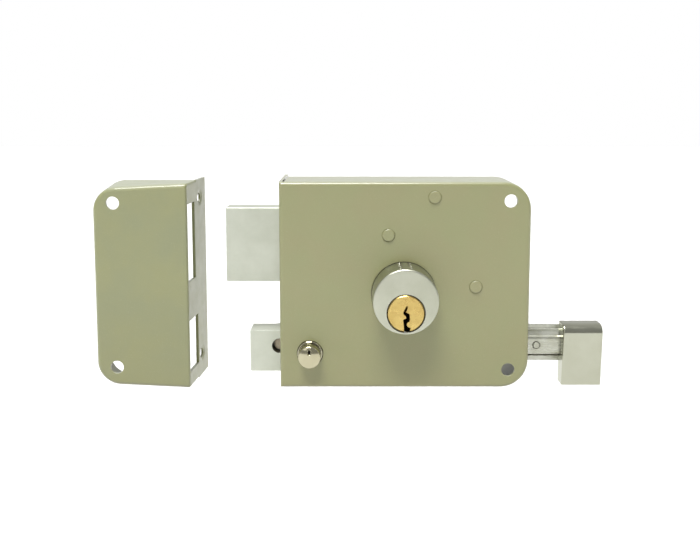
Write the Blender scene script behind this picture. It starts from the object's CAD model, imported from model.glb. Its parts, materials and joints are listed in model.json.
import json
import math

import bpy
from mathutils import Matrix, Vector


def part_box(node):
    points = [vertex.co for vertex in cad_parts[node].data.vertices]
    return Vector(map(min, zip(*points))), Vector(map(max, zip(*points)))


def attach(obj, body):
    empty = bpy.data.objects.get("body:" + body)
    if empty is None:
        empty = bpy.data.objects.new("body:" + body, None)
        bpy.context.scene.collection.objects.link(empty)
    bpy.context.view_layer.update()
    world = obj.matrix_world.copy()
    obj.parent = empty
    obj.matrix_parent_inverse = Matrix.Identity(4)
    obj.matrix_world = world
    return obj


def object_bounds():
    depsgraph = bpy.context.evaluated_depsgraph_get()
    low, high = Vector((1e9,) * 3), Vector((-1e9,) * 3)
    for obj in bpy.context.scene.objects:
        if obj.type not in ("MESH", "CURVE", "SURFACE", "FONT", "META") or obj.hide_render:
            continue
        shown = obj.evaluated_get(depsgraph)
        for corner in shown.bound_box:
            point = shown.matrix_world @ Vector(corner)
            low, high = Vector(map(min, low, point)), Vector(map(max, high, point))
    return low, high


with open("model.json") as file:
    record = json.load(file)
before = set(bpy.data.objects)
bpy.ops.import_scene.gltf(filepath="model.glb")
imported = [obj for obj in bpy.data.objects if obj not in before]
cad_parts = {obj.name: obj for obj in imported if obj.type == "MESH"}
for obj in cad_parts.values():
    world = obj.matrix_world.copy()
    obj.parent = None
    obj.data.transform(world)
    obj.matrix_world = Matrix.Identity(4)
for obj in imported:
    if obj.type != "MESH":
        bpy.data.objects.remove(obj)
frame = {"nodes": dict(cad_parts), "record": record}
nodes = frame["nodes"]
cad_low, cad_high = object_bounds()

MM = 0.001

# ---------------------------------------------------------------- sizes and places
# POST_HEADS, LATCH_HOLE, BUTTON_* and MARK_* are millimetres, scaled where they are used.
CYLINDER_R = 16 * MM
CYLINDER_RISE = 5.6 * MM
CROWN_RIM = 1.2 * MM
CROWN_SKIN = 0.07 * MM
LATHE_PITCH = 0.22 * MM

POST_HEADS = ((-7.8, 35.1), (15.1, 54.1), (36.0, 9.0))
LATCH_HOLE = (-63.5, 0, -25.1)
BAR_LINE_REACH = 22 * MM
BAR_LINE_END_GAP = 0.3 * MM
BAR_LINE_LEVEL = 2.9 * MM
BAR_WEB_DEPTH = 1.55 * MM
BAR_LINE_STEPS = 60

BUTTON_R = 5.3
BUTTON_BULGE = 0.95
BUTTON_SKIN = 0.02
BUTTON_ROWS = 44
BUTTON_STEPS = 160
MARK_RISE = 2.9
MARK_DEPTH = 0.75
MARK_HALF_WIDTH = 0.62
MARK_HALF_HEIGHT = 1.15
MARK_STAIN_HALF_WIDTH = 0.5
MARK_STAIN_HALF_HEIGHT = 1.1

STUDIO_FRONT = 0.38
STUDIO_REAR = 0.70
FLOOR_DROP = 240 * MM
FLOOR_HALF = 6.0


# ---------------------------------------------------------------- shader building
class Shader:
    """A Principled material and short ways to add nodes to it."""

    def __init__(self, name, **inputs):
        self.material = bpy.data.materials.new(name)
        self.material.use_nodes = True
        self.tree = self.material.node_tree
        self.surface = self.tree.nodes["Principled BSDF"]
        for socket, value in inputs.items():
            self.surface.inputs[socket.replace("_", " ")].default_value = value
        self.place = self.tree.nodes.new("ShaderNodeTexCoord").outputs["Object"]

    def add(self, kind, links=(), values=(), **settings):
        node = self.tree.nodes.new(kind)
        for key, value in settings.items():
            setattr(node, key, value)
        for socket, value in dict(values).items():
            node.inputs[socket].default_value = value
        for socket, source in dict(links).items():
            self.tree.links.new(source, node.inputs[socket])
        return node

    def scaled(self, x=1.0, y=1.0, z=1.0):
        """Object coordinates stretched along each axis."""
        node = self.add("ShaderNodeMapping", {"Vector": self.place}, {"Scale": (x, y, z)})
        return node.outputs["Vector"]

    def noise(self, scale, detail=4.0, roughness=0.55, vector=None):
        node = self.add("ShaderNodeTexNoise", {"Vector": vector or self.place},
                        {"Scale": scale, "Detail": detail, "Roughness": roughness})
        return node.outputs["Fac"]

    def cells(self, scale):
        node = self.add("ShaderNodeTexVoronoi", {"Vector": self.place}, {"Scale": scale})
        return node.outputs["Distance"]

    def remap(self, source, low, high, to_low=0.0, to_high=1.0):
        node = self.add("ShaderNodeMapRange", {"Value": source},
                        {"From Min": low, "From Max": high, "To Min": to_low, "To Max": to_high})
        return node.outputs["Result"]

    def maths(self, operation, first, second):
        node = self.add("ShaderNodeMath", operation=operation)
        for socket, value in zip(node.inputs, (first, second)):
            if isinstance(value, (int, float)):
                socket.default_value = value
            else:
                self.tree.links.new(value, socket)
        return node.outputs["Value"]

    def mix(self, factor, first, second):
        """Blend two colours; each is a colour or another node's output."""
        node = self.add("ShaderNodeMix", {"Factor": factor}, data_type="RGBA")
        for index, value in ((6, first), (7, second)):
            if isinstance(value, tuple):
                node.inputs[index].default_value = value
            else:
                self.tree.links.new(value, node.inputs[index])
        return node.outputs[2]

    def bump(self, height, distance, strength=1.0, under=None):
        links = {"Height": height}
        if under is not None:
            links["Normal"] = under
        node = self.add("ShaderNodeBump", links, {"Distance": distance, "Strength": strength})
        return node.outputs["Normal"]

    def softened(self, radius):
        """Normal as if the edges were rounded off by this radius."""
        return self.add("ShaderNodeBevel", (), {"Radius": radius}, samples=4).outputs["Normal"]

    def edges(self, radius, low=0.02, high=0.2):
        """Mask that is 1 on edges and corners and 0 on flat surfaces."""
        true_normal = self.add("ShaderNodeNewGeometry").outputs["Normal"]
        dot = self.add("ShaderNodeVectorMath", operation="DOT_PRODUCT")
        self.tree.links.new(true_normal, dot.inputs[0])
        self.tree.links.new(self.softened(radius), dot.inputs[1])
        return self.remap(dot.outputs["Value"], 1 - low, 1 - high)

    def crevice(self, reach, low=0.35, high=0.85):
        """Mask that is 1 deep in corners, holes and joints and 0 on open surfaces."""
        node = self.add("ShaderNodeAmbientOcclusion", (), {"Distance": reach}, samples=8)
        return self.remap(node.outputs["AO"], low, high, 1.0, 0.0)

    def facing(self, low, high):
        """Mask that rises from 0 to 1 as the surface's upward lean goes from low to high."""
        axes = self.add("ShaderNodeSeparateXYZ")
        self.tree.links.new(self.add("ShaderNodeNewGeometry").outputs["Normal"], axes.inputs["Vector"])
        return self.remap(axes.outputs["Z"], low, high)

    def join(self, **sources):
        for socket, source in sources.items():
            self.tree.links.new(source, self.surface.inputs[socket.replace("_", " ")])
        return self.material


def rgb(red, green, blue):
    return (red, green, blue, 1.0)


# ---------------------------------------------------------------- materials
ENAMEL_FOOT = rgb(0.195, 0.190, 0.075)
ENAMEL_GRIME = rgb(0.20, 0.19, 0.11)
ENAMEL_CREVICE = rgb(0.07, 0.065, 0.035)
ENAMEL_UNDERSIDE = rgb(0.12, 0.11, 0.06)
ENAMEL_TOP_DUST = rgb(0.40, 0.42, 0.33)
METAL_PIT = rgb(0.10, 0.10, 0.08)
METAL_RUBBED = rgb(0.82, 0.82, 0.78)
METAL_SOIL = rgb(0.035, 0.033, 0.026)
METAL_SUNK = rgb(0.020, 0.018, 0.014)


def enamel(name, base, warm, thin):
    """Stove enamel over steel: orange peel, faint mottling, warmer toward the foot, paler on edges."""
    s = Shader(name, Coat_Weight=0.6, Coat_Roughness=0.16, Specular_IOR_Level=0.5)
    patches = s.remap(s.noise(38, 3, 0.6), 0.38, 0.66)
    colour = s.mix(patches, base, warm)
    height = s.add("ShaderNodeSeparateXYZ", {"Vector": s.place}).outputs["Z"]
    colour = s.mix(s.remap(height, 10 * MM, -45 * MM, 0.0, 0.45), colour, ENAMEL_FOOT)
    dust = s.remap(s.noise(2600, 2, 0.5), 0.66, 0.74, 0.0, 0.35)
    colour = s.mix(dust, colour, thin)
    grime = s.remap(s.noise(900, 5, 0.7), 0.60, 0.72, 0.0, 0.22)
    colour = s.mix(grime, colour, ENAMEL_GRIME)
    rubbed = s.maths("MULTIPLY", s.edges(0.5 * MM), s.remap(s.noise(420, 4, 0.7), 0.35, 0.65))
    colour = s.mix(s.maths("MULTIPLY", rubbed, 0.55), colour, thin)
    corners = s.maths("MULTIPLY", s.crevice(2.5 * MM, 0.25, 0.75), 0.7)
    colour = s.mix(corners, colour, ENAMEL_CREVICE)
    colour = s.mix(s.maths("MULTIPLY", s.facing(-0.15, -0.75), 0.6), colour, ENAMEL_UNDERSIDE)
    colour = s.mix(s.maths("MULTIPLY", s.facing(0.55, 0.95), 0.55), colour, ENAMEL_TOP_DUST)
    peel = s.bump(s.noise(520, 2, 0.45), 0.045 * MM, 0.55, s.softened(0.35 * MM))
    grain = s.bump(s.noise(3200, 2, 0.5), 0.008 * MM, 0.35, peel)
    rough = s.remap(s.noise(160, 3), 0.3, 0.7, 0.34, 0.48)
    return s.join(Base_Color=colour, Roughness=rough, Normal=grain)


def plated(name, base, dull, rough, wear=0.5, grain=(1, 1, 1), scratch=0.4, smears=60, sunk=None,
           metallic=1.0):
    """Plated metal: a fine directional grain, smears, small pits, and rubbed edges."""
    s = Shader(name, Metallic=metallic)
    smear = s.remap(s.noise(smears, 4, 0.6), 0.32, 0.68)
    colour = s.mix(smear, base, dull)
    pits = s.remap(s.noise(1500, 3, 0.6), 0.69, 0.75, 0.0, 0.6)
    colour = s.mix(pits, colour, METAL_PIT)
    worn = s.maths("MULTIPLY", s.edges(0.35 * MM), wear)
    colour = s.mix(worn, colour, METAL_RUBBED)
    soiled = s.maths("MULTIPLY", s.crevice(1.6 * MM, 0.30, 0.80), 0.9)
    colour = s.mix(soiled, colour, METAL_SOIL)
    if sunk is not None:
        colour = s.mix(sunk(s), colour, METAL_SUNK)
    lines = s.noise(900, 3, 0.6, s.scaled(*grain))
    normal = s.bump(lines, 0.006 * MM, scratch, s.softened(0.25 * MM))
    normal = s.bump(s.noise(120, 2, 0.5), 0.05 * MM, 0.25, normal)
    finish = s.remap(s.noise(240, 4, 0.6, s.scaled(*grain)), 0.3, 0.7, rough * 0.8, rough * 1.3)
    return s.join(Base_Color=colour, Roughness=finish, Normal=normal)


def dents_below_crown(s):
    """Mask of the cylinder's staking dents: behind its front rim and inside its round surface."""
    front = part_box("cylinder_shell")[0][1]
    radius_limit = CYLINDER_R - CROWN_SKIN
    place = s.add("ShaderNodeVectorMath", {0: s.place}, {1: (0, 0, -CYLINDER_RISE)}, operation="ADD")
    across = s.add("ShaderNodeVectorMath", {0: place.outputs["Vector"]}, {1: (1, 0, 1)},
                   operation="MULTIPLY")
    radius = s.add("ShaderNodeVectorMath", {0: across.outputs["Vector"]}, operation="LENGTH")
    inside = s.maths("LESS_THAN", radius.outputs["Value"], radius_limit)
    axes = s.add("ShaderNodeSeparateXYZ", {"Vector": s.place})
    behind = s.maths("GREATER_THAN", axes.outputs["Y"], front + CROWN_RIM)
    return s.maths("MULTIPLY", inside, behind)


def turned_brass():
    """Machined brass: rings from the lathe around the plug's axis, slight tarnish."""
    s = Shader("turned_brass", Metallic=1.0)
    tarnish = s.remap(s.noise(210, 4, 0.6), 0.35, 0.68)
    colour = s.mix(tarnish, rgb(0.60, 0.45, 0.16), rgb(0.51, 0.36, 0.12))
    spots = s.remap(s.noise(1300, 3, 0.6), 0.66, 0.74, 0.0, 0.5)
    colour = s.mix(spots, colour, rgb(0.35, 0.20, 0.06))
    colour = s.mix(s.crevice(1.2 * MM, 0.25, 0.7), colour, rgb(0.03, 0.02, 0.01))
    flat = s.scaled(1, 0, 1)
    radius = s.add("ShaderNodeVectorMath", {0: flat}, operation="LENGTH").outputs["Value"]
    rings = s.maths("SINE", s.maths("MULTIPLY", radius, 2 * math.pi / LATHE_PITCH), 0.0)
    normal = s.bump(rings, 0.004 * MM, 0.5, s.softened(0.2 * MM))
    normal = s.bump(s.noise(700, 3, 0.6), 0.01 * MM, 0.3, normal)
    rough = s.remap(s.noise(400, 3), 0.3, 0.7, 0.24, 0.36)
    return s.join(Base_Color=colour, Roughness=rough, Normal=normal)


def zinc():
    """Bright zinc plate with its cloudy spangle and a trace of yellow passivation."""
    s = Shader("zinc_plate", Metallic=1.0)
    cloud = s.remap(s.cells(170), 0.1, 0.8)
    colour = s.mix(cloud, rgb(0.66, 0.67, 0.66), rgb(0.55, 0.55, 0.50))
    tint = s.remap(s.noise(70, 3), 0.4, 0.7, 0.0, 0.5)
    colour = s.mix(tint, colour, rgb(0.62, 0.57, 0.40))
    worn = s.maths("MULTIPLY", s.edges(0.3 * MM), 0.6)
    colour = s.mix(worn, colour, rgb(0.80, 0.80, 0.80))
    normal = s.bump(s.noise(800, 3, 0.6), 0.01 * MM, 0.4, s.softened(0.2 * MM))
    rough = s.remap(s.cells(170), 0.0, 0.9, 0.30, 0.46)
    return s.join(Base_Color=colour, Roughness=rough, Normal=normal)


def spring_steel():
    """Dark drawn steel wire with an oily sheen."""
    s = Shader("spring_steel", Metallic=1.0)
    stain = s.remap(s.noise(300, 4, 0.6), 0.35, 0.65)
    colour = s.mix(stain, rgb(0.38, 0.38, 0.39), rgb(0.22, 0.20, 0.18))
    normal = s.bump(s.noise(1500, 2), 0.006 * MM, 0.4)
    rough = s.remap(s.noise(500, 3), 0.3, 0.7, 0.25, 0.42)
    return s.join(Base_Color=colour, Roughness=rough, Normal=normal)


OLIVE = rgb(0.242, 0.248, 0.115)
OLIVE_WARM = rgb(0.250, 0.242, 0.116)
OLIVE_COOL = rgb(0.226, 0.238, 0.122)
OLIVE_THIN = rgb(0.40, 0.41, 0.27)

FINISHES = {
    "case_paint": enamel("case_enamel", OLIVE, OLIVE_WARM, OLIVE_THIN),
    "strike_paint": enamel("strike_enamel", OLIVE_COOL, OLIVE, OLIVE_THIN),
    "case_paint_heads": enamel("head_enamel", OLIVE, OLIVE_WARM, OLIVE_THIN),
    "zinc_steel": zinc(),
    "spring_steel": spring_steel(),
    "pin_steel": plated("pin_steel", rgb(0.55, 0.55, 0.54), rgb(0.42, 0.42, 0.40), 0.30),
    "cylinder_chrome": plated("satin_chrome", rgb(0.50, 0.51, 0.42), rgb(0.44, 0.45, 0.36), 0.34,
                              grain=(1, 0.05, 1), sunk=dents_below_crown),
    "plug_brass": turned_brass(),
    "bolt_nickel": plated("dull_nickel", rgb(0.53, 0.55, 0.47), rgb(0.46, 0.48, 0.40), 0.42,
                          grain=(0.12, 1, 1), metallic=0.45),
    "bar_nickel": plated("bright_nickel", rgb(0.50, 0.51, 0.45), rgb(0.36, 0.36, 0.28), 0.24,
                         grain=(0.06, 1, 1), scratch=0.9, smears=150, metallic=0.7),
    "grip_chrome": plated("polished_chrome", rgb(0.44, 0.445, 0.36), rgb(0.40, 0.405, 0.32), 0.16,
                          scratch=0.2),
    "knob_nickel": plated("polished_nickel", rgb(0.54, 0.51, 0.37), rgb(0.47, 0.45, 0.32), 0.16,
                          scratch=0.25),
}

for subpart in frame["record"]["subparts"]:
    piece = nodes[subpart["node"]]
    for material_slot in piece.material_slots:
        material_slot.material = FINISHES[subpart["material_slot"]]


# ---------------------------------------------------------------- small details
def turned(name, centre, axis, profile, body, material, steps=72, wobble=0.0):
    """A ring or disc swept round an axis from (radius, rise) pairs, slightly uneven as if by hand."""
    forward = Vector(axis).normalized()
    side = forward.orthogonal().normalized()
    other = forward.cross(side)
    verts, faces = [], []
    for step in range(steps):
        angle = 2 * math.pi * step / steps
        outward = side * math.cos(angle) + other * math.sin(angle)
        uneven = 1 + wobble * (math.sin(3 * angle + 0.6) + 0.6 * math.sin(7 * angle + 2.1)) / 1.6
        for radius, rise in profile:
            verts.append(Vector(centre) + outward * radius * uneven * MM + forward * rise * MM)
    rows = len(profile)
    for step in range(steps):
        near, far = step * rows, (step + 1) % steps * rows
        for row in range(rows - 1):
            faces.append((near + row, far + row, far + row + 1, near + row + 1))
    mesh = bpy.data.meshes.new(name)
    mesh.from_pydata(verts, [], faces)
    mesh.polygons.foreach_set("use_smooth", [True] * len(faces))
    mesh.materials.append(material)
    piece = bpy.data.objects.new(name, mesh)
    bpy.context.collection.objects.link(piece)
    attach(piece, body)
    return piece


def grime(name, dark, pale):
    """Dust and old oil caught in a joint."""
    s = Shader(name, Specular_IOR_Level=0.25)
    patches = s.remap(s.noise(900, 4, 0.7), 0.38, 0.66)
    colour = s.mix(patches, dark, pale)
    rough = s.remap(s.noise(1200, 3), 0.3, 0.7, 0.6, 0.9)
    return s.join(Base_Color=colour, Roughness=rough, Normal=s.bump(s.noise(2400, 3), 0.03 * MM, 0.6))


def middle(node):
    """Centre of a carried-over part's box."""
    box_low, box_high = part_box(node)
    return (Vector(box_low) + Vector(box_high)) / 2


shell_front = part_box("cylinder_shell")[0][1]
case_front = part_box("case_shell")[0][1]
case_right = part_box("case_shell")[1][0]

joint_grime = grime("joint_grime", rgb(0.030, 0.027, 0.018), rgb(0.075, 0.065, 0.040))
paint_seam = grime("paint_seam", rgb(0.17, 0.165, 0.08), rgb(0.22, 0.22, 0.105))
tan_dust = grime("tan_dust", rgb(0.90, 0.76, 0.55), rgb(0.95, 0.86, 0.68))
turned("plug_gap_line", Vector((0, shell_front, 0)), (0, -1, 0),
       ((9.08, -0.02), (9.14, 0.03), (9.35, 0.03), (9.52, -0.02)), "lock_case", joint_grime, wobble=0.006)

SEAM = ((3.02, 0.0), (3.10, 0.10), (3.22, 0.08), (3.45, -0.01))
for number, (x, z) in enumerate(POST_HEADS, 1):
    turned(f"rivet_paint_seam_{number}", Vector((x * MM, case_front, z * MM)), (0, -1, 0), SEAM,
           "lock_case", paint_seam, wobble=0.03)

knob_seat = middle("holdback_ferrule")
turned("knob_seat_line", Vector((knob_seat.x, case_front, knob_seat.z)), (0, -1, 0),
       ((6.2, -0.01), (6.3, 0.06), (6.5, 0.05), (6.75, -0.01)), "lock_case", joint_grime, wobble=0.02)

rivet = middle("pull_rivet")
web_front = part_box("pull_bar")[0][1]
turned("pull_rivet_line", Vector((rivet.x, web_front, rivet.z)), (0, -1, 0),
       ((1.66, 0.0), (1.74, 0.10), (1.95, 0.08), (2.10, -0.01)), "latch", joint_grime, wobble=0.03)


def foot_line():
    """Dark line where the bar's raised web meets its lower margin."""
    bar_low, bar_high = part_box("pull_bar")
    start, end = case_right - BAR_LINE_REACH, bar_high[0] - BAR_LINE_END_GAP
    level = bar_low[2] + BAR_LINE_LEVEL
    front = bar_high[1] - BAR_WEB_DEPTH
    rows = ((0.0, -0.38), (-0.10, -0.12), (-0.12, 0.14), (-0.02, 0.42))
    verts, faces = [], []
    for step in range(BAR_LINE_STEPS + 1):
        x = start + (end - start) * step / BAR_LINE_STEPS
        swell = 1 + 0.22 * math.sin(step * 0.9) + 0.15 * math.sin(step * 2.3 + 1)
        for out, up in rows:
            verts.append((x, front + out * MM, level + up * swell * MM))
    for step in range(BAR_LINE_STEPS):
        for row in range(len(rows) - 1):
            near, far = step * len(rows) + row, (step + 1) * len(rows) + row
            faces.append((near, far, far + 1, near + 1))
    mesh = bpy.data.meshes.new("bar_foot_line")
    mesh.from_pydata(verts, [], faces)
    mesh.materials.append(joint_grime)
    piece = bpy.data.objects.new("bar_foot_line", mesh)
    bpy.context.collection.objects.link(piece)
    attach(piece, "latch")


foot_line()
latch_hole = Vector(LATCH_HOLE) * MM
turned("latch_hole_wall", latch_hole, (0, -1, 0),
       ((3.60, 11.62), (3.80, 11.9), (3.86, 13.0), (3.86, 15.75)), "latch", joint_grime)
turned("latch_hole_floor", latch_hole, (0, -1, 0),
       ((0.02, 12.30), (1.2, 12.32), (2.4, 12.25), (3.0, 12.05), (3.2, 11.55)), "latch", tan_dust,
       wobble=0.01)


def button_crown():
    """The button's polished convex face, with its sunk mark near the top."""
    centre = Vector((knob_seat.x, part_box("holdback_knob")[0][1], knob_seat.z))
    ball = (BUTTON_R ** 2 + BUTTON_BULGE ** 2) / (2 * BUTTON_BULGE)
    verts, faces = [], []
    for row in range(BUTTON_ROWS + 1):
        reach = BUTTON_R * row / BUTTON_ROWS
        for step in range(BUTTON_STEPS):
            angle = 2 * math.pi * step / BUTTON_STEPS
            x, z = reach * math.cos(angle), reach * math.sin(angle)
            rise = math.sqrt(ball ** 2 - reach ** 2) - (ball - BUTTON_BULGE) + BUTTON_SKIN
            across, along = abs(x) / MARK_HALF_WIDTH, abs(z - MARK_RISE) / MARK_HALF_HEIGHT
            hollow = 1 / (1 + (across ** 2.0 + along ** 4.0) ** 5)
            verts.append(centre + Vector((x, -(rise - MARK_DEPTH * hollow), z)) * MM)
    for row in range(BUTTON_ROWS):
        for step in range(BUTTON_STEPS):
            after = (step + 1) % BUTTON_STEPS
            near, far = row * BUTTON_STEPS, (row + 1) * BUTTON_STEPS
            faces.append((near + step, near + after, far + after, far + step))
    mesh = bpy.data.meshes.new("button_crown")
    mesh.from_pydata(verts, [], faces)
    mesh.polygons.foreach_set("use_smooth", [True] * len(faces))
    mesh.validate()
    mesh.materials.append(plated("crown_nickel", rgb(0.50, 0.47, 0.33), rgb(0.44, 0.41, 0.28), 0.13,
                                 scratch=0.15, sunk=mark_on_crown))
    piece = bpy.data.objects.new("button_crown", mesh)
    bpy.context.collection.objects.link(piece)
    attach(piece, "holdback_button")


def mark_on_crown(s):
    """Mask of the button's sunk mark."""
    across = s.add("ShaderNodeVectorMath", {0: s.place},
                   {1: (-knob_seat.x, 0, -knob_seat.z - MARK_RISE * MM)}, operation="ADD")
    squeeze = (1 / MARK_STAIN_HALF_WIDTH, 0, 1 / MARK_STAIN_HALF_HEIGHT)
    shape = s.add("ShaderNodeVectorMath", {0: across.outputs["Vector"]}, {1: squeeze},
                  operation="MULTIPLY")
    length = s.add("ShaderNodeVectorMath", {0: shape.outputs["Vector"]}, operation="LENGTH")
    return s.maths("LESS_THAN", length.outputs["Value"], 1.0 * MM)


button_crown()


# ---------------------------------------------------------------- room, lights and camera
def white_room():
    """A pale floor well below the lock in a studio that is brighter behind it than in front."""
    world = bpy.data.worlds.new("studio")
    bpy.context.scene.world = world
    world.use_nodes = True
    tree = world.node_tree
    direction = tree.nodes.new("ShaderNodeTexCoord").outputs["Generated"]
    axes = tree.nodes.new("ShaderNodeSeparateXYZ")
    tree.links.new(direction, axes.inputs["Vector"])
    depth = tree.nodes.new("ShaderNodeMapRange")
    depth.inputs["From Min"].default_value = -0.4
    depth.inputs["From Max"].default_value = 0.5
    depth.inputs["To Min"].default_value = STUDIO_FRONT
    depth.inputs["To Max"].default_value = STUDIO_REAR
    tree.links.new(axes.outputs["Y"], depth.inputs["Value"])
    level = tree.nodes.new("ShaderNodeMapRange")
    level.inputs["To Max"].default_value = 1.0
    tree.links.new(tree.nodes.new("ShaderNodeLightPath").outputs["Is Camera Ray"], level.inputs["Value"])
    tree.links.new(depth.outputs["Result"], level.inputs["To Min"])
    tree.links.new(level.outputs["Result"], tree.nodes["Background"].inputs["Strength"])
    tree.nodes["Background"].inputs["Color"].default_value = rgb(1.0, 1.0, 1.0)

    mesh = bpy.data.meshes.new("floor")
    half, height = FLOOR_HALF, cad_low.z - FLOOR_DROP
    corners = [(-half, -half, height), (half, -half, height), (half, half, height), (-half, half, height)]
    mesh.from_pydata(corners, [], [(0, 1, 2, 3)])
    floor = bpy.data.objects.new("floor", mesh)
    bpy.context.collection.objects.link(floor)
    s = Shader("floor_paper", Roughness=0.9)
    paper = s.mix(s.noise(9, 3), rgb(0.74, 0.74, 0.73), rgb(0.77, 0.77, 0.76))
    mesh.materials.append(s.join(Base_Color=paper))


def lamp(name, kind, place, aim, energy, **settings):
    """A light at a place, turned toward its aim."""
    light = bpy.data.lights.new(name, kind)
    light.energy = energy
    for key, value in settings.items():
        setattr(light, key, value)
    holder = bpy.data.objects.new(name, light)
    bpy.context.collection.objects.link(holder)
    holder.location = place
    holder.rotation_euler = (Vector(aim) - Vector(place)).to_track_quat("-Z", "Y").to_euler()


def camera():
    """Almost straight-on view from a little above the lock, framed by a small downward shift."""
    data = bpy.data.cameras.new("camera")
    data.lens = 38.7
    data.shift_y = -0.15
    view = bpy.data.objects.new("camera", data)
    bpy.context.collection.objects.link(view)
    view.location = (-26.9 * MM, -396.7 * MM, 101.2 * MM)
    view.rotation_euler = (math.radians(90 - 5.56), 0, 0)
    bpy.context.scene.camera = view


white_room()
lamp("overhead", "SUN", (-0.15, -0.35, 1.0), (0, 0, 0), 4.2, angle=math.radians(30))
lamp("front_fill", "AREA", (-0.5, -1.0, 0.45), (0, 0, 0), 1.0, size=0.5)
camera()
bpy.context.scene.view_settings.view_transform = "Standard"
